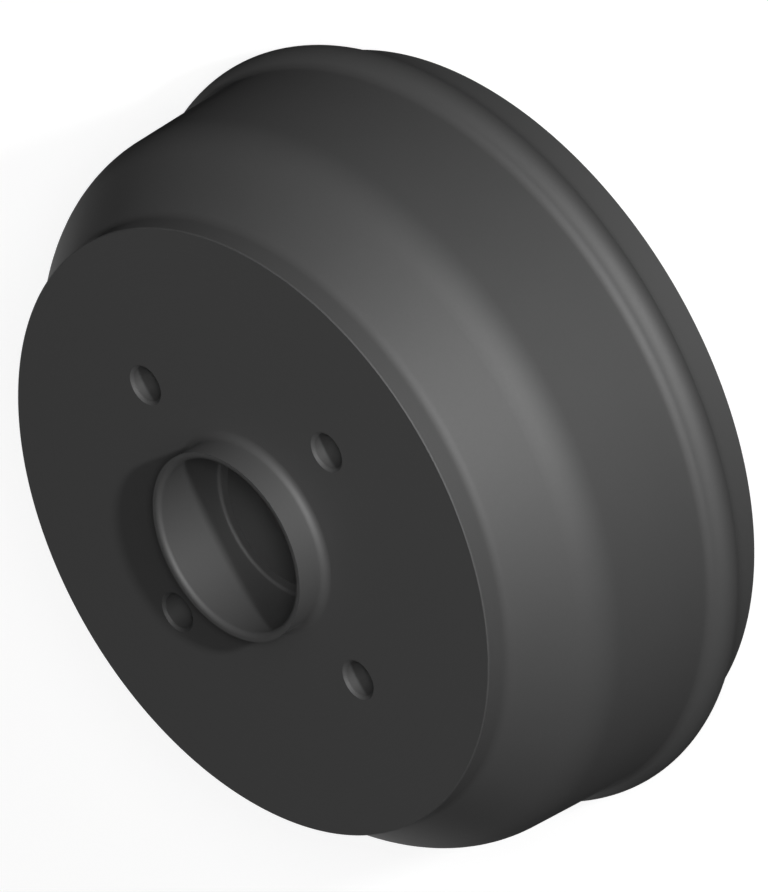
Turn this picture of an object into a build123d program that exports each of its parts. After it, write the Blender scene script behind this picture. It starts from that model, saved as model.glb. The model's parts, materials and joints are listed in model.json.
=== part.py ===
from build123d import *
import os
from math import acos, asin, cos, degrees, radians, sin, tan

# Rear brake drum of a small car, with its wheel hub cast in one piece with it.
# It stands on its open rim: Z is the axle line, Z = 0 is the plane of the open rim,
# and the wheel face and the hub's nose point up. All sizes are in millimetres.

# Drum wall, around the brake shoes
friction_diameter = 200.0  # bore that the shoe linings rub on
drum_wall = 8.15  # wall thickness midway between the lip and the wheel face
casting_draft = 2.0  # degrees, on the cast outer walls
drum_depth = 88.7  # from the open rim to the wheel face

# Open rim, a thin lip that runs in the groove of the brake's backing plate
lip_length = 13.8  # from the open rim to the flat back of the stiffening bead
lip_wall = 3.3
lip_step = 1.5  # the lip's bore is this much larger in radius than the friction bore
lip_bore_depth = 8.0
lead_in_angle = 30.0  # degrees from the axis, from the lip's bore to the friction bore

# Stiffening bead behind the lip
bead_height = 3.45  # crest above the outer wall
bead_round = 6.0
bead_blend = 4.0  # concave radius between the outer wall and the bead
crest_rise = 2.45  # from the bead's flat back up to the height of its crest

# Shoulder between the wheel face and the drum wall
wheel_face_diameter = 181.5
rim_band_depth = 7.1  # narrow band behind the wheel face's edge
shoulder_angle = 40.5  # degrees from the axis
shoulder_wall = 8.5
rim_blend = 5.0  # concave radius between the band and the shoulder
shoulder_round = 19.0  # convex radius between the shoulder and the drum wall
face_edge_break = 0.3  # chamfer around the wheel face

# Inside corner of the drum
relief_step = 0.8  # tool run-out past the friction bore, in radius
relief_width = 3.0
web_thickness = 9.0
web_round = 6.0

# Wheel bolts, screwed into the hub flange
bolt_circle_diameter = 100.0
bolt_count = 4
bolt_hole_diameter = 10.5
bolt_mouth_diameter = 12.0
bolt_mouth_angle = 90.0
flange_thickness = 12.5
flange_margin = 12.0  # from the bolt circle to the edge of the thick flange

# Nose that centres the wheel
spigot_diameter = 56.6
spigot_height = 9.85
spigot_blend = 2.45  # concave radius between the wheel face and the nose
mouth_round = 1.5  # convex radius at the nose's mouth

# Hub bores, from the nose inwards
cap_bore_diameter = 52.0  # the grease cap is pressed in here
cap_bore_depth = 13.35  # behind the wheel face
cap_bore_round = 1.0  # concave radius at the bottom of the cap bore
outer_bearing_diameter = 45.237
outer_bearing_width = 12.35
groove_width = 2.0  # relief groove at the foot of the outer bearing's seat
groove_depth = 1.5
outer_abutment_diameter = 39.5
outer_abutment_width = 5.0
inner_abutment_diameter = 44.5
inner_bearing_diameter = 50.292
inner_bearing_width = 10.7
seal_diameter = 58.0
seal_width = 8.0
seat_break = 0.5  # chamfer at the mouth of the seats behind the web

# Hub boss behind the web
hub_length = 70.0  # from the wheel face to the boss's end
hub_wall = 6.0  # around the seal seat
hub_draft = 3.0
hub_blend = 5.0
hub_end_break = 1.5  # chamfer around the boss's end

# Drum wall lines. A point is a radius and a height.
draft = radians(casting_draft)
friction_radius = friction_diameter / 2
wall_middle = (lip_length + drum_depth) / 2


def outer_wall(height):
    """Radius of the drafted outer wall at a height."""
    return friction_radius + drum_wall + (wall_middle - height) * tan(draft)


# Shoulder: a cone from the end of the rim band to where it meets the outer wall
slope = tan(radians(shoulder_angle))
band_end = drum_depth - rim_band_depth
band_radius = wheel_face_diameter / 2 + rim_band_depth * tan(draft)
shoulder_depth = (outer_wall(band_end) - band_radius) / (slope - tan(draft))
shoulder_end = band_end - shoulder_depth

# Bead: its crest arc and its blend arc meet at one angle, which follows from their heights.
# The crest arc ends in a sharp edge, where the flat back cuts it below its widest point.
bead_angle = acos(1 - bead_height / (bead_round + bead_blend))
bead_centre_height = lip_length + crest_rise
bead_reach = (bead_round + bead_blend) * sin(bead_angle)
bead_foot = bead_centre_height - (bead_height - bead_round) * sin(draft)
bead_start_height = bead_foot + bead_reach * cos(draft)
wall_run = Vector(sin(draft), -cos(draft))
crest_turn = degrees(bead_angle) + casting_draft + degrees(asin(crest_rise / bead_round))

# Inside of the shoulder, parallel to the outside
inner_shift = shoulder_wall / cos(radians(shoulder_angle))
relief_radius = friction_radius + relief_step
web_height = drum_depth - web_thickness
web_corner_radius = band_radius - inner_shift + (band_end - web_height) * slope
relief_end = web_height - (relief_radius - web_corner_radius) / slope
friction_end = relief_end - relief_width

# Open rim
lip_bore_radius = friction_radius + lip_step
lip_radius = lip_bore_radius + lip_wall
friction_start = lip_bore_depth + lip_step / tan(radians(lead_in_angle))

# Hub
flange_height = drum_depth - flange_thickness
flange_radius = bolt_circle_diameter / 2 + flange_margin
flange_step = flange_thickness - web_thickness
hub_end = drum_depth - hub_length
hub_end_radius = seal_diameter / 2 + hub_wall
hub_root_radius = hub_end_radius + (flange_height - hub_end - hub_end_break) * tan(radians(hub_draft))
nose_height = drum_depth + spigot_height
cap_bore_end = drum_depth - cap_bore_depth
cap_step = (cap_bore_diameter - outer_bearing_diameter) / 2
outer_bearing_end = cap_bore_end - outer_bearing_width
groove_start = outer_bearing_end + groove_width
groove_radius = outer_bearing_diameter / 2 + groove_depth
outer_abutment_end = outer_bearing_end - outer_abutment_width
core_step = (inner_abutment_diameter - outer_abutment_diameter) / 2
seal_end = hub_end + seal_width
inner_bearing_end = seal_end + inner_bearing_width

# The section runs round three chains of corners, between the nose's edge, the bead and the boss's mouth.
# Each corner is a radius, a height and the size of its rounding.
nose_edge = (spigot_diameter / 2, nose_height)
boss_mouth = (seal_diameter / 2 + seat_break, hub_end)
outside = [
    (spigot_diameter / 2, drum_depth, spigot_blend),
    (wheel_face_diameter / 2 - face_edge_break, drum_depth, 0),
    (wheel_face_diameter / 2, drum_depth - face_edge_break, 0),
    (band_radius, band_end, rim_blend),
    (outer_wall(shoulder_end), shoulder_end, shoulder_round),
]
inside = [
    (lip_radius, lip_length, 0),
    (lip_radius, 0, 0),
    (lip_bore_radius, 0, 0),
    (lip_bore_radius, lip_bore_depth, 0),
    (friction_radius, friction_start, 0),
    (friction_radius, friction_end, 0),
    (relief_radius, friction_end, 0),
    (relief_radius, relief_end, 0),
    (web_corner_radius, web_height, web_round),
    (flange_radius + flange_step, web_height, 0),
    (flange_radius, flange_height, 0),
    (hub_root_radius, flange_height, hub_blend),
    (hub_end_radius, hub_end + hub_end_break, 0),
    (hub_end_radius - hub_end_break, hub_end, 0),
]
bores = [
    (seal_diameter / 2, hub_end + seat_break, 0),
    (seal_diameter / 2, seal_end, 0),
    (inner_bearing_diameter / 2 + seat_break, seal_end, 0),
    (inner_bearing_diameter / 2, seal_end + seat_break, 0),
    (inner_bearing_diameter / 2, inner_bearing_end, 0),
    (inner_abutment_diameter / 2, inner_bearing_end, 0),
    (inner_abutment_diameter / 2, outer_abutment_end - core_step, 0),
    (outer_abutment_diameter / 2, outer_abutment_end, 0),
    (outer_abutment_diameter / 2, outer_bearing_end, 0),
    (groove_radius, outer_bearing_end, 0),
    (groove_radius, groove_start, 0),
    (outer_bearing_diameter / 2, groove_start, 0),
    (outer_bearing_diameter / 2, cap_bore_end, 0),
    (cap_bore_diameter / 2, cap_bore_end, min(cap_bore_round, cap_step / 2)),
    (cap_bore_diameter / 2, nose_height, mouth_round),
]


def turned_edge(start, corners, end):
    """Line from start to end past the corners, each rounded by its own radius."""
    points = [start, *[corner[:2] for corner in corners], end]
    return FilletPolyline(*points, radius=[corner[2] for corner in corners])


with BuildPart() as brake_drum:
    # The casting is turned as one section: outside, bead, inside and hub bores
    with BuildSketch(Plane.XZ) as section:
        with BuildLine() as outline:
            bead_start = (outer_wall(bead_start_height), bead_start_height)
            turned_edge(nose_edge, outside, bead_start)
            blend_arc = JernArc(bead_start, wall_run, bead_blend, degrees(bead_angle))
            crest_arc = JernArc(blend_arc @ 1, blend_arc % 1, bead_round, -crest_turn)
            turned_edge(crest_arc @ 1, inside, boss_mouth)
            turned_edge(boss_mouth, bores, nose_edge)
        make_face()
    revolve(axis=Axis.Z)

    # Threaded holes for the wheel bolts, drilled to the thread's core size
    with Locations((0, 0, drum_depth)):
        with PolarLocations(bolt_circle_diameter / 2, bolt_count):
            CounterSinkHole(
                bolt_hole_diameter / 2,
                bolt_mouth_diameter / 2,
                depth=flange_thickness + flange_step,
                counter_sink_angle=bolt_mouth_angle,
            )

brake_drum.part.label = "brake_drum"

os.makedirs("parts", exist_ok=True)
export_step(brake_drum.part, "parts/brake_drum.step")
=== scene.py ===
import json
import logging
from dataclasses import dataclass, field
from enum import Enum
from math import acos, asin, ceil, cos, pi, radians, sin, tan

import bmesh
import bpy
import numpy as np
from mathutils import Matrix, Vector


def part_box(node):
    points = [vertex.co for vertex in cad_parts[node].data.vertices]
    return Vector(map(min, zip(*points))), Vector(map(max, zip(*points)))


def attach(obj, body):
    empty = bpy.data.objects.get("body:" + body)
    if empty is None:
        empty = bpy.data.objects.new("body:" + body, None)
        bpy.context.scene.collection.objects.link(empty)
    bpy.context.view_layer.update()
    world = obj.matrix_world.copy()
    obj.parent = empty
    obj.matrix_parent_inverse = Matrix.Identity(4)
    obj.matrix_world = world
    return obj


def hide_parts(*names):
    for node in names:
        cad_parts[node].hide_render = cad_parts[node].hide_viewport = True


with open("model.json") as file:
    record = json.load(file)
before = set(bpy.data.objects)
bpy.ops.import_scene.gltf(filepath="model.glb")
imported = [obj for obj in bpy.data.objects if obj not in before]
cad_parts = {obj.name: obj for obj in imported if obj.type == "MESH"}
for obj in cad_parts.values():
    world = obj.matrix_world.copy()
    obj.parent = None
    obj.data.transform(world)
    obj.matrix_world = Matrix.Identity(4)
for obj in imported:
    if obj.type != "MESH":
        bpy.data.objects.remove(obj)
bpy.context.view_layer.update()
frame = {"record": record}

MM = 0.001
PHOTO_WIDTH, PHOTO_HEIGHT = 768, 892
SECTION_MAP = "section"  # map of turns round the axle line and metres along the section
log = logging.getLogger("brake_drum")


class Zone(Enum):
    """Which finish a stretch of the casting's surface carries. The value is its material slot."""

    CAST = 0
    TURNED = 1
    BARE = 2


def linear(hex_colour: str) -> tuple[float, float, float, float]:
    """Turns an sRGB hex colour into the linear colour that a shader reads.

    Args:
        hex_colour: six hex digits, with or without a leading hash.

    Returns:
        Red, green, blue and an alpha of one.
    """
    digits = hex_colour.lstrip("#")
    parts = [int(digits[i : i + 2], 16) / 255 for i in (0, 2, 4)]
    red, green, blue = (c / 12.92 if c <= 0.04045 else ((c + 0.055) / 1.055) ** 2.4 for c in parts)
    return red, green, blue, 1.0


def add_node(
    tree: bpy.types.NodeTree, kind: str, settings: dict | None = None, links: dict | None = None
) -> bpy.types.Node:
    """Adds one shader node.

    Args:
        tree: the node tree that takes it.
        kind: the node's type name.
        settings: values by name, for the node's own options and for its input sockets.
        links: output sockets by the name or number of the input that each one feeds.

    Returns:
        The new node.
    """
    node = tree.nodes.new(kind)
    for name, value in (settings or {}).items():
        if isinstance(name, str) and hasattr(node, name):
            setattr(node, name, value)
        else:
            node.inputs[name].default_value = value
    for name, source in (links or {}).items():
        tree.links.new(source, node.inputs[name])
    return node


def new_material(name: str) -> tuple[bpy.types.Material, bpy.types.NodeTree]:
    """Makes an empty node material and returns it with its tree."""
    material = bpy.data.materials.new(name)
    material.use_nodes = True
    material.node_tree.nodes.clear()
    return material, material.node_tree


@dataclass(frozen=True)
class CoatedCasting:
    """Matt grey-black coat, sprayed or dipped over the skin that the sand mould leaves on cast iron.

    The eye gets an even, neutral dark grey with a broad dull sheen, a fine sandy grain under the coat
    and a slow unevenness where the coat lies thicker.
    """

    name: str = "coated_cast_iron_sand_skin"
    colour: str = "#383838"
    thick_colour: str = "#3b3b3b"
    roughness: float = 0.68
    drift: float = 0.03
    ior: float = 1.8  # a coat full of dark oxide pigment reflects more than clear lacquer
    grain_mm: float = 0.9  # sand grain of about 0.3 mm, drawn coarser so that it shows
    grain_height_mm: float = 0.006
    flow_mm: float = 14.0  # length over which the coat's thickness drifts
    flow_height_mm: float = 0.02

    def material(self) -> bpy.types.Material:
        """Builds the coat: colour and roughness drift with its thickness, and two noises give the relief."""
        material, tree = new_material(self.name)
        place = add_node(tree, "ShaderNodeTexCoord").outputs["Object"]
        flow = add_node(
            tree, "ShaderNodeTexNoise", {"Scale": 1 / (self.flow_mm * MM), "Detail": 2.0}, {"Vector": place}
        ).outputs["Fac"]
        grain = add_node(
            tree, "ShaderNodeTexNoise", {"Scale": 1 / (self.grain_mm * MM), "Detail": 3.0}, {"Vector": place}
        ).outputs["Fac"]
        colour = add_node(
            tree,
            "ShaderNodeMix",
            {"data_type": "RGBA", 6: linear(self.colour), 7: linear(self.thick_colour)},
            {0: flow},
        ).outputs[2]
        dullness = add_node(
            tree,
            "ShaderNodeMapRange",
            {"To Min": self.roughness - self.drift, "To Max": self.roughness + self.drift},
            {"Value": grain},
        ).outputs["Result"]
        wave = add_node(
            tree, "ShaderNodeBump", {"Strength": 1.0, "Distance": self.flow_height_mm * MM}, {"Height": flow}
        ).outputs["Normal"]
        relief = add_node(
            tree,
            "ShaderNodeBump",
            {"Strength": 1.0, "Distance": self.grain_height_mm * MM},
            {"Height": grain, "Normal": wave},
        ).outputs["Normal"]
        shader = add_node(
            tree,
            "ShaderNodeBsdfPrincipled",
            {"IOR": self.ior},
            {"Base Color": colour, "Roughness": dullness, "Normal": relief},
        ).outputs["BSDF"]
        add_node(tree, "ShaderNodeOutputMaterial", links={"Surface": shader})
        return material


def turned_rings(
    tree: bpy.types.NodeTree, pitch_mm: float, height_mm: float
) -> tuple[bpy.types.NodeSocket, bpy.types.NodeSocket]:
    """Relief of a turning tool's feed, as rings that follow the section round the axle line.

    The second value of the section map is the length along the section. Noise in that one
    dimension gives each ring its own depth.

    Args:
        tree: the node tree that takes the nodes.
        pitch_mm: distance from ring to ring.
        height_mm: depth of the rings.

    Returns:
        The noise value and the bumped normal, as output sockets.
    """
    section = add_node(tree, "ShaderNodeUVMap", {"uv_map": SECTION_MAP}).outputs["UV"]
    along = add_node(tree, "ShaderNodeSeparateXYZ", links={"Vector": section}).outputs["Y"]
    turns = add_node(
        tree, "ShaderNodeMath", {"operation": "MULTIPLY", 1: 1 / (pitch_mm * MM)}, {0: along}
    ).outputs["Value"]
    rings = add_node(
        tree, "ShaderNodeTexNoise", {"noise_dimensions": "1D", "Scale": 1.0, "Detail": 1.0}, {"W": turns}
    ).outputs["Fac"]
    normal = add_node(
        tree, "ShaderNodeBump", {"Strength": 1.0, "Distance": height_mm * MM}, {"Height": rings}
    ).outputs["Normal"]
    return rings, normal


@dataclass(frozen=True)
class CoatedTurning:
    """The same matt coat over faces that were turned on a lathe before it.

    The eye gets the casting's dark grey without its grain, and faint rings from the tool.
    """

    name: str = "coated_cast_iron_turned"
    colour: str = "#3a3a3a"
    roughness: float = 0.68
    drift: float = 0.02
    ior: float = 1.8
    ring_pitch_mm: float = 0.8  # feed of about 0.25 mm, drawn coarser so that it shows
    ring_height_mm: float = 0.0015

    def material(self) -> bpy.types.Material:
        """Builds the coat over tool rings, which also stir its roughness."""
        material, tree = new_material(self.name)
        rings, normal = turned_rings(tree, self.ring_pitch_mm, self.ring_height_mm)
        dullness = add_node(
            tree,
            "ShaderNodeMapRange",
            {"To Min": self.roughness - self.drift, "To Max": self.roughness + self.drift},
            {"Value": rings},
        ).outputs["Result"]
        shader = add_node(
            tree,
            "ShaderNodeBsdfPrincipled",
            {"Base Color": linear(self.colour), "IOR": self.ior},
            {"Roughness": dullness, "Normal": normal},
        ).outputs["BSDF"]
        add_node(tree, "ShaderNodeOutputMaterial", links={"Surface": shader})
        return material


@dataclass(frozen=True)
class BareTurning:
    """Grey cast iron as the lathe leaves it, under no coat: the friction track and the hidden seats.

    The eye gets a mid grey metal with a soft gleam that is drawn out across clear tool rings.
    """

    name: str = "bare_cast_iron_turned"
    colour: str = "#8c8c8c"
    speck_colour: str = "#787878"  # graphite flakes
    roughness: float = 0.42
    drift: float = 0.08
    ring_pitch_mm: float = 0.8
    ring_height_mm: float = 0.004
    speck_mm: float = 0.7

    def material(self) -> bpy.types.Material:
        """Builds the bare iron: graphite specks in the colour, and tool rings in relief and roughness."""
        material, tree = new_material(self.name)
        rings, normal = turned_rings(tree, self.ring_pitch_mm, self.ring_height_mm)
        place = add_node(tree, "ShaderNodeTexCoord").outputs["Object"]
        specks = add_node(
            tree, "ShaderNodeTexNoise", {"Scale": 1 / (self.speck_mm * MM), "Detail": 2.0}, {"Vector": place}
        ).outputs["Fac"]
        colour = add_node(
            tree,
            "ShaderNodeMix",
            {"data_type": "RGBA", 6: linear(self.colour), 7: linear(self.speck_colour)},
            {0: specks},
        ).outputs[2]
        dullness = add_node(
            tree,
            "ShaderNodeMapRange",
            {"To Min": self.roughness - self.drift, "To Max": self.roughness + self.drift},
            {"Value": rings},
        ).outputs["Result"]
        shader = add_node(
            tree,
            "ShaderNodeBsdfPrincipled",
            {"Metallic": 1.0},
            {"Base Color": colour, "Roughness": dullness, "Normal": normal},
        ).outputs["BSDF"]
        add_node(tree, "ShaderNodeOutputMaterial", links={"Surface": shader})
        return material


class SurfaceBuilder:
    """Gathers grids of points into one closed mesh, with a finish and a section map on every face."""

    def __init__(self) -> None:
        """Starts with nothing gathered."""
        self.points: list[np.ndarray] = []
        self.faces: list[np.ndarray] = []
        self.zones: list[np.ndarray] = []
        self.maps: list[np.ndarray] = []
        self.count = 0

    def add_grid(
        self, points: np.ndarray, section_map: np.ndarray, zones: np.ndarray, keep: np.ndarray | None = None
    ) -> None:
        """Adds the cells between neighbouring grid points as faces.

        A cell's outward side is the cross product of the row direction and the column direction.

        Args:
            points: rows x columns x 3 places, in metres.
            section_map: rows x columns x 2, turns round the axle line and metres along the section.
            zones: one finish number for each row of cells.
            keep: rows - 1 x columns - 1, false where a cell is left out.
        """
        rows, columns = points.shape[:2]
        index = np.arange(rows * columns).reshape(rows, columns)
        cells = np.stack([index[:-1, :-1], index[1:, :-1], index[1:, 1:], index[:-1, 1:]], axis=-1)
        kept = np.ones(cells.shape[:2], dtype=bool) if keep is None else keep
        chosen = cells[kept]
        self.points.append(points.reshape(-1, 3))
        self.faces.append(chosen + self.count)
        self.zones.append(np.broadcast_to(zones[:, None], cells.shape[:2])[kept])
        self.maps.append(section_map.reshape(-1, 2)[chosen])
        self.count += rows * columns

    def mesh(self, name: str, weld: float, crease: float) -> bpy.types.Mesh:
        """Joins the grids into one mesh, closes their seams and shades them smooth up to the creases.

        Args:
            name: the mesh's name.
            weld: points nearer than this are one point, in metres.
            crease: edges that turn by more than this angle stay sharp, in radians.

        Returns:
            The finished mesh.
        """
        faces = np.concatenate(self.faces)
        mesh = bpy.data.meshes.new(name)
        mesh.from_pydata(np.concatenate(self.points), [], faces)
        mesh.polygons.foreach_set("material_index", np.concatenate(self.zones).astype(np.int32))
        layer = mesh.uv_layers.new(name=SECTION_MAP)
        layer.uv.foreach_set("vector", np.concatenate(self.maps).astype(np.float32).ravel())
        shape = bmesh.new()
        shape.from_mesh(mesh)
        bmesh.ops.remove_doubles(shape, verts=shape.verts, dist=weld)
        log.info("%s: %d open edges", name, sum(not edge.is_manifold for edge in shape.edges))
        shape.to_mesh(mesh)
        shape.free()
        mesh.shade_smooth()
        mesh.set_sharp_from_angle(angle=crease)
        return mesh


@dataclass(frozen=True)
class Corner:
    """A corner of the section's outline, and the finish from its rounding on to the next corner."""

    radius: float
    height: float
    zone: Zone
    rounding: float = 0.0
    drilled: float = 0.0  # half width of the band on the run from here that the bolt holes go through


@dataclass
class Section:
    """The section's outline as rows of points, ready to be turned."""

    rows: np.ndarray  # rows x 2, radius and height
    zones: np.ndarray  # finish number of each gap between rows
    bands: list[slice]  # rows of each band that the bolt holes are drilled through

    @property
    def lengths(self) -> np.ndarray:
        """Length along the outline from its start to each row."""
        steps = np.hypot(*np.diff(self.rows, axis=0).T)
        return np.concatenate([[0.0], np.cumsum(steps)])


def direction(start: np.ndarray, end: np.ndarray) -> np.ndarray:
    """Unit vector from one point of the section to another."""
    return (end - start) / np.hypot(*(end - start))


def turned_by(vector: np.ndarray, angle: np.ndarray | float) -> np.ndarray:
    """Turns a vector of the section by an angle, or by each of several angles."""
    x, y = vector
    return np.stack([x * np.cos(angle) - y * np.sin(angle), x * np.sin(angle) + y * np.cos(angle)], axis=-1)


def closed(rings: np.ndarray) -> np.ndarray:
    """Repeats the first point of every ring as its last."""
    return np.concatenate([rings, rings[:, :1]], axis=1)


@dataclass
class BoltPattern:
    """Holes for the wheel bolts, with a countersunk mouth in the wheel face."""

    circle: float
    count: int
    bore: float
    mouth: float = 6.0 * MM
    face_window: float = 11.0 * MM  # half width of the face's band that the holes are drilled in
    back_window: float = 6.6 * MM
    steps: int = 20  # cells along each side of the window round a hole
    shares: tuple[float, ...] = (0.0, 0.45, 0.8, 1.0)  # rings from the window's edge to the hole's

    @classmethod
    def from_mount(cls, mount: dict) -> "BoltPattern":
        """Reads the pattern's sizes from its mount in the record."""
        dims = mount["dims"]
        return cls(circle=dims["pcd_mm"] / 2 * MM, count=dims["count"], bore=dims["hole_r_mm"] * MM)

    def turns(self) -> np.ndarray:
        """Angle of each hole round the axle line."""
        return (np.arange(self.count) + 1) * 2 * pi / self.count

    def columns(self, total: int) -> np.ndarray:
        """First column of each hole's window, on a round that starts half way between two holes."""
        middles = (np.arange(self.count) + 0.5) * total / self.count
        return (middles - self.steps / 2).astype(int)

    def edge(self, block: np.ndarray) -> np.ndarray:
        """Points round a window's edge, from its inner corner at the far turn, then outwards.

        Args:
            block: the window's grid points, by row and column.

        Returns:
            Four times the window's steps of points.
        """
        radius = np.hypot(block[:, 0, 0], block[:, 0, 1])
        block = block if radius[0] < radius[-1] else block[::-1]
        return np.concatenate([block[:-1, -1], block[-1, :0:-1], block[:0:-1, 0], block[0, :-1]])

    def circle_points(self, turn: float, radius: float, height: float) -> np.ndarray:
        """Points round a hole, in step with its window's edge.

        Point s of n lies at s / n of a round less an eighth, counted from the direction of growing
        turn towards the drum's outside.

        Args:
            turn: the hole's angle round the axle line.
            radius: the circle's radius.
            height: the circle's height.

        Returns:
            Four times the window's steps of points.
        """
        angle = np.arange(4 * self.steps) / (4 * self.steps) * 2 * pi - pi / 4
        across = np.array([-sin(turn), cos(turn)])
        outward = np.array([cos(turn), sin(turn)])
        spokes = np.outer(np.cos(angle), across) + np.outer(np.sin(angle), outward)
        plan = self.circle * outward + radius * spokes
        return np.column_stack([plan, np.full(len(plan), height)])

    def drill(
        self, builder: SurfaceBuilder, grid: np.ndarray, section: Section, turn: float, column: int
    ) -> None:
        """Adds one hole: its window in the face, its mouth and bore, and its window in the flange's back.

        A window's rings are the edge plus a share of the way from the edge to the hole's circle.

        Args:
            builder: the mesh that takes the hole.
            grid: the turned section's points.
            section: the section that was turned.
            turn: the hole's angle round the axle line.
            column: the window's first column.
        """
        face_band, back_band = section.bands
        columns = slice(column, column + self.steps + 1)
        share = np.array(self.shares)[:, None, None]
        face_height = section.rows[face_band.start, 1]
        back_height = section.rows[back_band.start, 1]
        sunk_height = face_height - (self.mouth - self.bore)
        mouth = self.circle_points(turn, self.mouth, face_height)
        sunk = self.circle_points(turn, self.bore, sunk_height)
        back = self.circle_points(turn, self.bore, back_height)
        face_edge = self.edge(grid[face_band, columns])
        back_edge = self.edge(grid[back_band, columns])
        front = closed(face_edge + (mouth - face_edge) * share)
        rear = closed(back_edge + (back - back_edge) * share)[::-1]
        wall = closed(np.array([mouth, sunk, (2 * sunk + back) / 3, (sunk + 2 * back) / 3, back]))
        for rings, zone, band in ((front, Zone.TURNED, face_band), (rear, Zone.CAST, back_band)):
            ring_map = self.window_map(rings, section, band, turn)
            builder.add_grid(rings, ring_map, np.full(len(rings) - 1, zone.value))
        around = np.broadcast_to(np.linspace(0, 1, wall.shape[1]), wall.shape[:2])
        wall_map = np.stack([around, face_height - wall[..., 2]], axis=-1)
        builder.add_grid(wall, wall_map, np.full(len(wall) - 1, Zone.TURNED.value))

    @staticmethod
    def window_map(rings: np.ndarray, section: Section, band: slice, turn: float) -> np.ndarray:
        """Section map of a flat window.

        The turns follow from a point's angle, and its length from its distance to the axle line.

        Args:
            rings: the window's points.
            section: the section that was turned.
            band: the section's rows that the window lies in.
            turn: the hole's angle round the axle line.

        Returns:
            Turns and length of each point.
        """
        x, y = rings[..., 0], rings[..., 1]
        offset = np.arctan2(y * cos(turn) - x * sin(turn), x * cos(turn) + y * sin(turn))
        length = section.lengths[band.start] + np.abs(np.hypot(x, y) - section.rows[band.start, 0])
        return np.stack([(turn + offset) / (2 * pi), length], axis=-1)


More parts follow.
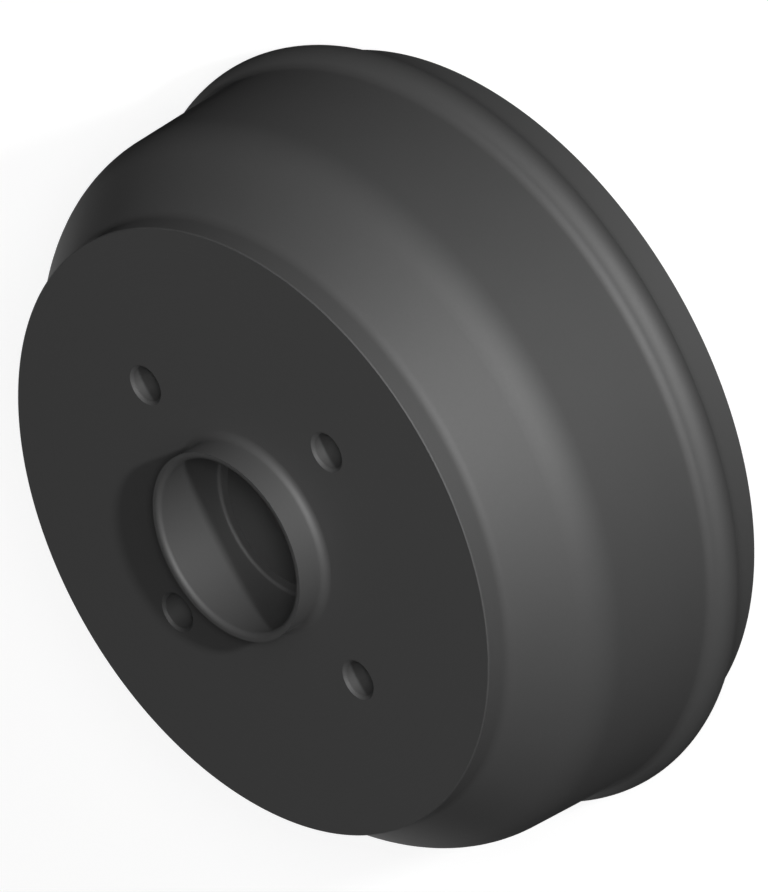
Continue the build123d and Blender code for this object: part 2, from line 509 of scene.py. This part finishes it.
@dataclass
class DrumCasting:
    """The brake drum, one iron casting turned where it fits other parts. Lengths are in metres."""

    depth: float
    nose_top: float
    spigot: float
    cap_bore: float
    cap_floor: float
    outer_seat: float
    outer_seat_end: float
    inner_seat: float
    inner_seat_end: float
    seal_seat: float
    seal_end: float
    boss_end: float
    friction: float
    friction_start: float
    friction_end: float
    lip_middle: float
    bolts: BoltPattern
    draft: float = radians(2.0)
    wall: float = 8.15 * MM
    lip_length: float = 13.8 * MM
    lip_wall: float = 3.3 * MM
    lip_bore_depth: float = 8.0 * MM
    bead_height: float = 3.45 * MM
    bead_round: float = 6.0 * MM
    bead_blend: float = 4.0 * MM
    crest_rise: float = 2.45 * MM  # from the bead's flat back up to the height of its crest
    face: float = 90.75 * MM
    band_depth: float = 7.1 * MM
    shoulder_angle: float = radians(40.5)
    shoulder_wall: float = 8.5 * MM
    rim_blend: float = 5.0 * MM
    shoulder_round: float = 19.0 * MM
    face_break: float = 0.3 * MM
    relief_step: float = 0.8 * MM
    web: float = 9.0 * MM
    web_round: float = 6.0 * MM
    flange: float = 12.5 * MM
    flange_margin: float = 12.0 * MM
    spigot_blend: float = 2.45 * MM
    mouth_round: float = 1.5 * MM
    cap_round: float = 1.0 * MM  # at the bottom of the cap bore
    groove_width: float = 2.0 * MM  # relief groove at the foot of the outer bearing's seat
    groove_depth: float = 1.5 * MM
    seat_break: float = 0.5 * MM
    abutment: float = 19.75 * MM
    abutment_width: float = 5.0 * MM
    core: float = 22.25 * MM
    hub_wall: float = 6.0 * MM
    hub_draft: float = radians(3.0)
    hub_blend: float = 5.0 * MM
    hub_break: float = 1.5 * MM
    columns: int = 288  # cells round the axle line
    arc_step: float = radians(5.0)  # longest turn of an arc from point to point
    guard: float = 0.15 * MM  # narrow rows beside an arc, which keep flat runs shaded flat
    weld: float = 1e-3 * MM
    crease: float = radians(20.0)
    finishes: list[CoatedCasting | CoatedTurning | BareTurning] = field(
        default_factory=lambda: [CoatedCasting(), CoatedTurning(), BareTurning()]
    )  # in the order of the zones

    @classmethod
    def from_record(cls, record: dict) -> "DrumCasting":
        """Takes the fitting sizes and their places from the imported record's mounts.

        Args:
            record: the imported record.

        Returns:
            The drum, with the remaining sizes at their own values.
        """
        mounts = {mount["name"]: mount for mount in record["mounts"]}

        def radius(name: str) -> float:
            """Radius of a round mount."""
            return mounts[name]["dims"]["r_mm"] * MM

        def ends(name: str) -> tuple[float, float]:
            """Lower and upper end of a round mount."""
            middle = mounts[name]["pos_m"][2]
            half = mounts[name]["dims"]["length_mm"] * MM / 2
            return middle - half, middle + half

        return cls(
            depth=mounts["wheel_face"]["pos_m"][2],
            nose_top=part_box("brake_drum")[1][2],
            spigot=radius("wheel_spigot"),
            cap_bore=radius("cap_bore"),
            cap_floor=ends("cap_bore")[0] - cls.cap_round,
            outer_seat=radius("outer_bearing_seat"),
            outer_seat_end=ends("outer_bearing_seat")[0],
            inner_seat=radius("inner_bearing_seat"),
            inner_seat_end=ends("inner_bearing_seat")[1],
            seal_seat=radius("seal_seat"),
            seal_end=ends("seal_seat")[1],
            boss_end=ends("seal_seat")[0] - cls.seat_break,
            friction=radius("shoe_track"),
            friction_start=ends("shoe_track")[0],
            friction_end=ends("shoe_track")[1],
            lip_middle=mounts["open_rim"]["pos_m"][0],
            bolts=BoltPattern.from_mount(mounts["wheel_bolts"]),
        )

    def outer_wall(self, height: float) -> float:
        """Radius of the drafted outer wall at a height."""
        middle = (self.lip_length + self.depth) / 2
        return self.friction + self.wall + (middle - height) * tan(self.draft)

    def bead_corners(self) -> list[Corner]:
        """Corners whose roundings are the stiffening bead's blend and crest.

        The blend turns away from the wall until it meets the crest arc, whose top stands the bead's
        height above the wall. The crest arc turns back past its widest point, until the bead's flat
        back cuts it off in a sharp edge, the third corner. Each arc takes its radius times the
        tangent of half its turn off both sides of its corner.
        """
        rise = acos(1 - self.bead_height / (self.bead_round + self.bead_blend))
        fall = rise + self.draft + asin(self.crest_rise / self.bead_round)
        reach = (self.bead_round + self.bead_blend) * sin(rise)
        centre = self.lip_length + self.crest_rise
        foot = centre - (self.bead_height - self.bead_round) * sin(self.draft)
        start_height = foot + reach * cos(self.draft)
        start = np.array([self.outer_wall(start_height), start_height])
        run = np.array([sin(self.draft), -cos(self.draft)])
        blend_trim = self.bead_blend * tan(rise / 2)
        crest_trim = self.bead_round * tan(fall / 2)
        foot_corner = start + run * blend_trim
        crest_corner = foot_corner + turned_by(run, rise) * (blend_trim + crest_trim)
        edge = crest_corner + turned_by(run, rise - fall) * crest_trim
        return [
            Corner(*foot_corner, Zone.CAST, self.bead_blend),
            Corner(*crest_corner, Zone.CAST, self.bead_round),
            Corner(*edge, Zone.TURNED),
        ]

    def corners(self) -> list[Corner]:
        """Every corner of the section, from the nose's edge outwards and round to its mouth."""
        cast, turned, bare = Zone.CAST, Zone.TURNED, Zone.BARE
        slope = tan(self.shoulder_angle)
        band_end = self.depth - self.band_depth
        band = self.face + self.band_depth * tan(self.draft)
        shoulder_depth = (self.outer_wall(band_end) - band) / (slope - tan(self.draft))
        shoulder_end = band_end - shoulder_depth
        lip_bore = self.lip_middle - self.lip_wall / 2
        lip = self.lip_middle + self.lip_wall / 2
        relief = self.friction + self.relief_step
        web_height = self.depth - self.web
        web_corner = band - self.shoulder_wall / cos(self.shoulder_angle) + (band_end - web_height) * slope
        relief_end = web_height - (relief - web_corner) / slope
        flange_height = self.depth - self.flange
        flange = self.bolts.circle + self.flange_margin
        boss = self.seal_seat + self.hub_wall
        root = boss + (flange_height - self.boss_end - self.hub_break) * tan(self.hub_draft)
        seat_foot = self.outer_seat_end - self.groove_width
        groove = self.outer_seat + self.groove_depth
        abutment_end = seat_foot - self.abutment_width
        outside = [
            Corner(self.spigot, self.nose_top, turned),
            Corner(self.spigot, self.depth, turned, self.spigot_blend, self.bolts.face_window),
            Corner(self.face - self.face_break, self.depth, turned),
            Corner(self.face, self.depth - self.face_break, turned),
            Corner(band, band_end, cast, self.rim_blend),
            Corner(self.outer_wall(shoulder_end), shoulder_end, cast, self.shoulder_round),
            *self.bead_corners(),
        ]
        inside = [
            Corner(lip, self.lip_length, turned),
            Corner(lip, 0.0, turned),
            Corner(lip_bore, 0.0, turned),
            Corner(lip_bore, self.lip_bore_depth, bare),
            Corner(self.friction, self.friction_start, bare),
            Corner(self.friction, self.friction_end, bare),
            Corner(relief, self.friction_end, bare),
            Corner(relief, relief_end, cast),
            Corner(web_corner, web_height, cast, self.web_round),
            Corner(flange + self.flange - self.web, web_height, cast),
            Corner(flange, flange_height, cast, 0.0, self.bolts.back_window),
            Corner(root, flange_height, cast, self.hub_blend),
            Corner(boss, self.boss_end + self.hub_break, turned),
            Corner(boss - self.hub_break, self.boss_end, turned),
        ]
        bores = [
            Corner(self.seal_seat + self.seat_break, self.boss_end, bare),
            Corner(self.seal_seat, self.boss_end + self.seat_break, bare),
            Corner(self.seal_seat, self.seal_end, bare),
            Corner(self.inner_seat + self.seat_break, self.seal_end, bare),
            Corner(self.inner_seat, self.seal_end + self.seat_break, bare),
            Corner(self.inner_seat, self.inner_seat_end, bare),
            Corner(self.core, self.inner_seat_end, turned),
            Corner(self.core, abutment_end - (self.core - self.abutment), turned),
            Corner(self.abutment, abutment_end, turned),
            Corner(self.abutment, seat_foot, turned),
            Corner(groove, seat_foot, turned),
            Corner(groove, self.outer_seat_end, turned),
            Corner(self.outer_seat, self.outer_seat_end, turned),
            Corner(self.outer_seat, self.cap_floor, turned),
            Corner(self.cap_bore, self.cap_floor, turned, self.cap_round),
            Corner(self.cap_bore, self.nose_top, turned, self.mouth_round),
        ]
        return outside + inside + bores

    def arc(self, before: np.ndarray, here: np.ndarray, after: np.ndarray, rounding: float) -> np.ndarray:
        """Points of the rounding at a corner, or the corner alone where it has none.

        The arc leaves and meets the two runs without a kink. It starts radius times tan(turn / 2) before
        the corner, and its points are that start turned about the arc's centre in equal steps.

        Args:
            before: the corner before.
            here: the corner.
            after: the corner after.
            rounding: the arc's radius.

        Returns:
            points x 2.
        """
        if not rounding:
            return here[None]
        incoming, outgoing = direction(before, here), direction(here, after)
        turn = np.arctan2(incoming[0] * outgoing[1] - incoming[1] * outgoing[0], incoming @ outgoing)
        start = here - incoming * rounding * tan(abs(turn) / 2)
        to_centre = turned_by(incoming, np.sign(turn) * pi / 2) * rounding
        steps = ceil(abs(turn) / self.arc_step)
        return start + to_centre + turned_by(-to_centre, np.linspace(0, turn, steps + 1))

    def run(self, start: np.ndarray, end: np.ndarray, corner: Corner, following: Corner) -> np.ndarray:
        """Points inside the straight run between two roundings.

        Args:
            start: where the run starts.
            end: where it ends.
            corner: the corner that it leaves.
            following: the corner that it reaches.

        Returns:
            Guard rows beside the roundings, and the rows of a drilled band.
        """
        length = np.hypot(*(end - start))
        places = np.empty(0)
        if corner.rounding and length > 2 * self.guard:
            places = np.append(places, self.guard)
        if corner.drilled:
            middle = abs(self.bolts.circle - start[0])
            band = np.linspace(middle - corner.drilled, middle + corner.drilled, self.bolts.steps + 1)
            places = np.append(places, band)
        if following.rounding and length > 2 * self.guard:
            places = np.append(places, length - self.guard)
        return start + np.outer(places / length, end - start) if len(places) else np.empty((0, 2))

    def section(self) -> Section:
        """Works the corners out into rows of points, and closes the outline on itself."""
        corners = self.corners()
        places = np.array([(corner.radius, corner.height) for corner in corners])
        befores, afters = np.roll(places, 1, axis=0), np.roll(places, -1, axis=0)
        arcs = [
            self.arc(before, here, after, corner.rounding)
            for before, here, after, corner in zip(befores, places, afters, corners)
        ]
        stretches, zones = [], []
        for i, corner in enumerate(corners):
            ahead = (i + 1) % len(corners)
            run = self.run(arcs[i][-1], arcs[ahead][0], corner, corners[ahead])
            stretches += [arcs[i], run]
            zones += [corner.zone.value] * (len(arcs[i]) + len(run))
        rows = np.vstack([*stretches, arcs[0][:1]])
        apart = np.hypot(*np.diff(rows, axis=0).T) > self.weld
        rows = rows[np.append(apart, True)]
        bands = [self.band(rows, corner) for corner in corners if corner.drilled]
        return Section(rows, np.array(zones)[apart], bands)

    def band(self, rows: np.ndarray, corner: Corner) -> slice:
        """Rows of the drilled band on the run that starts at a corner."""
        level = np.abs(rows[:, 1] - corner.height) < self.weld
        near = np.abs(rows[:, 0] - self.bolts.circle) < corner.drilled + self.weld
        inside = np.flatnonzero(level & near)
        return slice(inside[0], inside[-1] + 1)

    def build(self) -> bpy.types.Object:
        """Turns the section round the axle line, drills the bolt holes and dresses the casting.

        A point of the grid is its row's radius times the cosine and sine of its column's angle, at its
        row's height. The round starts half way between two holes, so no window crosses the seam.

        Returns:
            The finished piece.
        """
        section = self.section()
        angles = pi / self.bolts.count + np.linspace(0, 2 * pi, self.columns + 1)
        radius, height = section.rows.T
        grid = np.stack(
            [
                np.outer(radius, np.cos(angles)),
                np.outer(radius, np.sin(angles)),
                np.broadcast_to(height[:, None], (len(height), len(angles))),
            ],
            axis=-1,
        )
        turns, lengths = np.meshgrid(angles / (2 * pi), section.lengths)
        keep = np.ones((len(height) - 1, self.columns), dtype=bool)
        builder = SurfaceBuilder()
        for turn, column in zip(self.bolts.turns(), self.bolts.columns(self.columns)):
            for band in section.bands:
                keep[band.start : band.stop - 1, column : column + self.bolts.steps] = False
            self.bolts.drill(builder, grid, section, turn, column)
        builder.add_grid(grid, np.stack([turns, lengths], axis=-1), section.zones, keep)
        mesh = builder.mesh("drum_casting", self.weld, self.crease)
        for finish in self.finishes:
            mesh.materials.append(finish.material())
        piece = bpy.data.objects.new("drum_casting", mesh)
        bpy.context.scene.collection.objects.link(piece)
        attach(piece, "root")
        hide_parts("brake_drum")
        log.info("drum_casting: %d rows, %d faces", len(height), len(mesh.polygons))
        return piece


@dataclass(frozen=True)
class SoftLight:
    """An oval soft box at a distance, aimed at the drum.

    Its level is what a white surface that faces it sends back, where 1 is white.
    """

    name: str
    azimuth: float  # degrees round the axle line from +X
    elevation: float
    level: float
    width: float
    height: float
    distance: float = 3.0

    def build(self, aim: Vector) -> bpy.types.Object:
        """Makes the lamp.

        A lamp of P watts at distance D, with half axes a and b, gives the level P / pi^2 (D^2 + a b).

        Args:
            aim: the point that it faces.

        Returns:
            The lamp.
        """
        lamp = bpy.data.lights.new(self.name, "AREA")
        lamp.shape = "ELLIPSE"
        lamp.size, lamp.size_y = self.width, self.height
        lamp.energy = self.level * pi**2 * (self.distance**2 + self.width * self.height / 4)
        towards = direction_from(self.azimuth, self.elevation)
        light = bpy.data.objects.new(self.name, lamp)
        light.location = aim + towards * self.distance
        light.rotation_euler = towards.to_track_quat("Z", "Y").to_euler()
        bpy.context.scene.collection.objects.link(light)
        log.info("%s: level %.3f", self.name, self.level)
        return light


def direction_from(azimuth: float, elevation: float) -> Vector:
    """Unit vector towards a place at that azimuth from +X and that elevation, both in degrees."""
    a, e = radians(azimuth), radians(elevation)
    return Vector((cos(a) * cos(e), sin(a) * cos(e), sin(e)))


@dataclass(frozen=True)
class LongLensCamera:
    """Camera at the photograph's viewing angle, far away behind a long lens, so that nearly nothing tapers.

    The photograph is isometric: the line of sight makes equal angles with three square axes, one of
    them the axle line, and the picture is turned by a third of a round. The small departures from
    the exact angles make up for most of the slight taper that the lens leaves.
    """

    azimuth: float = -100.03
    elevation: float = 35.55
    roll: float = 119.986
    lens: float = 1480.0
    sensor: float = 36.0
    pixel: float = 0.27263 * MM  # size of a photograph's pixel at the drum
    face_middle: tuple[float, float] = (251.78, 532.51)  # pixel of the wheel face's middle
    nearer: float = 8.2 * MM  # taken off the distance at which a pixel has its size at the wheel face
    reach: float = 4.0  # how far the camera sees, in times its distance

    def build(self, face_height: float) -> bpy.types.Object:
        """Makes the camera and sets it as the scene's.

        Args:
            face_height: height of the wheel face.

        Returns:
            The camera.
        """
        towards = direction_from(self.azimuth, self.elevation)
        level_right = Vector((-sin(radians(self.azimuth)), cos(radians(self.azimuth)), 0))
        level_up = towards.cross(level_right)
        roll = radians(self.roll)
        right = level_right * cos(roll) - level_up * sin(roll)
        up = level_right * sin(roll) + level_up * cos(roll)
        across = (PHOTO_WIDTH / 2 - self.face_middle[0]) * self.pixel
        along = (self.face_middle[1] - PHOTO_HEIGHT / 2) * self.pixel
        distance = self.lens / self.sensor * PHOTO_HEIGHT * self.pixel
        look = Vector((0, 0, face_height)) + right * across + up * along
        data = bpy.data.cameras.new("camera")
        data.lens = self.lens
        data.sensor_width = self.sensor
        camera = bpy.data.objects.new("camera", data)
        place = look + towards * (distance - self.nearer)
        camera.matrix_world = Matrix.Translation(place) @ Matrix((right, up, towards)).transposed().to_4x4()
        data.clip_end = self.reach * distance
        bpy.context.scene.collection.objects.link(camera)
        bpy.context.scene.camera = camera
        log.info("camera: %.2f m away", distance)
        return camera


@dataclass
class Studio:
    """Plain pale floor and background, soft lights and the camera.

    The key light rakes low over the wheel face. A small and a large lamp beside the camera fill its
    shadows, and a low strip behind the drum lights the side that the photograph hides.
    """

    floor_size: float = 40.0
    floor_level: float = 0.86  # how white the floor is to the camera before its own light is added
    floor_colour: str = "#969696"
    bounce_colour: str = "#181818"  # the floor as it lights the drum, whose walls stay dark at their edges
    ambient: float = 0.025
    mirrored: float = 0.01  # how much of the white a matt coat is shown
    lights: list[SoftLight] = field(
        default_factory=lambda: [
            SoftLight("key_light", azimuth=-105.0, elevation=18.5, level=0.65, width=0.17, height=0.17),
            SoftLight("camera_lamp", azimuth=-100.0, elevation=35.5, level=0.4, width=0.6, height=0.6),
            SoftLight("camera_fill", azimuth=-100.0, elevation=35.5, level=0.25, width=3.7, height=3.4),
            SoftLight("low_back_strip", azimuth=80.0, elevation=0.0, level=0.6, width=1.0, height=0.08),
        ]
    )

    def seen(self, tree: bpy.types.NodeTree, white: float) -> bpy.types.NodeSocket:
        """Strength of the white: full to the camera and through glass, and a share of it in a matt coat.

        Args:
            tree: the node tree that takes the nodes.
            white: the full strength.

        Returns:
            The strength, as an output socket.
        """
        path = add_node(tree, "ShaderNodeLightPath").outputs
        direct = add_node(
            tree,
            "ShaderNodeMath",
            {"operation": "MAXIMUM"},
            {0: path["Is Camera Ray"], 1: path["Is Transmission Ray"]},
        ).outputs["Value"]
        full = add_node(
            tree, "ShaderNodeMath", {"operation": "MULTIPLY", 1: white}, {0: direct}
        ).outputs["Value"]
        return add_node(
            tree,
            "ShaderNodeMath",
            {"operation": "MULTIPLY_ADD", 1: self.mirrored},
            {0: path["Is Glossy Ray"], 2: full},
        ).outputs["Value"]

    def build_floor(self) -> bpy.types.Object:
        """A square floor in the plane of the open rim, pale matt paint that the camera sees as white."""
        half = self.floor_size / 2
        mesh = bpy.data.meshes.new("floor")
        corners = [(-half, -half, 0), (half, -half, 0), (half, half, 0), (-half, half, 0)]
        mesh.from_pydata(corners, [], [(0, 1, 2, 3)])
        material, tree = new_material("pale_matt_floor")
        glow = add_node(
            tree,
            "ShaderNodeEmission",
            {"Color": linear("#ffffff")},
            {"Strength": self.seen(tree, self.floor_level)},
        ).outputs["Emission"]
        to_camera = add_node(tree, "ShaderNodeLightPath").outputs["Is Camera Ray"]
        colour = add_node(
            tree,
            "ShaderNodeMix",
            {"data_type": "RGBA", 6: linear(self.bounce_colour), 7: linear(self.floor_colour)},
            {0: to_camera},
        ).outputs[2]
        paint = add_node(tree, "ShaderNodeBsdfDiffuse", links={"Color": colour}).outputs["BSDF"]
        both = add_node(tree, "ShaderNodeAddShader", links={0: glow, 1: paint}).outputs["Shader"]
        add_node(tree, "ShaderNodeOutputMaterial", links={"Surface": both})
        mesh.materials.append(material)
        floor = bpy.data.objects.new("floor", mesh)
        bpy.context.scene.collection.objects.link(floor)
        return floor

    def build_world(self) -> None:
        """A white background to the camera, and a weak even light from all round to the drum."""
        world = bpy.data.worlds.new("studio")
        world.use_nodes = True
        tree = world.node_tree
        tree.nodes.clear()
        path = add_node(tree, "ShaderNodeLightPath").outputs
        around = add_node(
            tree,
            "ShaderNodeMath",
            {"operation": "MULTIPLY", 1: self.ambient},
            {0: path["Is Diffuse Ray"]},
        ).outputs["Value"]
        strength = add_node(
            tree, "ShaderNodeMath", {"operation": "ADD"}, {0: around, 1: self.seen(tree, 1.0)}
        ).outputs["Value"]
        sky = add_node(
            tree, "ShaderNodeBackground", {"Color": linear("#ffffff")}, {"Strength": strength}
        ).outputs["Background"]
        add_node(tree, "ShaderNodeOutputWorld", links={"Surface": sky})
        bpy.context.scene.world = world

    def build(self, drum: DrumCasting) -> None:
        """Makes everything round the drum.

        Args:
            drum: the casting that the lamps and the camera are aimed at.
        """
        self.build_floor()
        self.build_world()
        aim = Vector((0, 0, drum.depth / 2))
        for light in self.lights:
            light.build(aim)
        LongLensCamera().build(drum.depth)
        bpy.context.scene.view_settings.view_transform = "Standard"


def main() -> None:
    """Builds the drum, then the studio round it."""
    logging.basicConfig(level=logging.INFO, format="%(name)s: %(message)s")
    drum = DrumCasting.from_record(frame["record"])
    drum.build()
    Studio().build(drum)


if __name__ == "__main__":
    main()
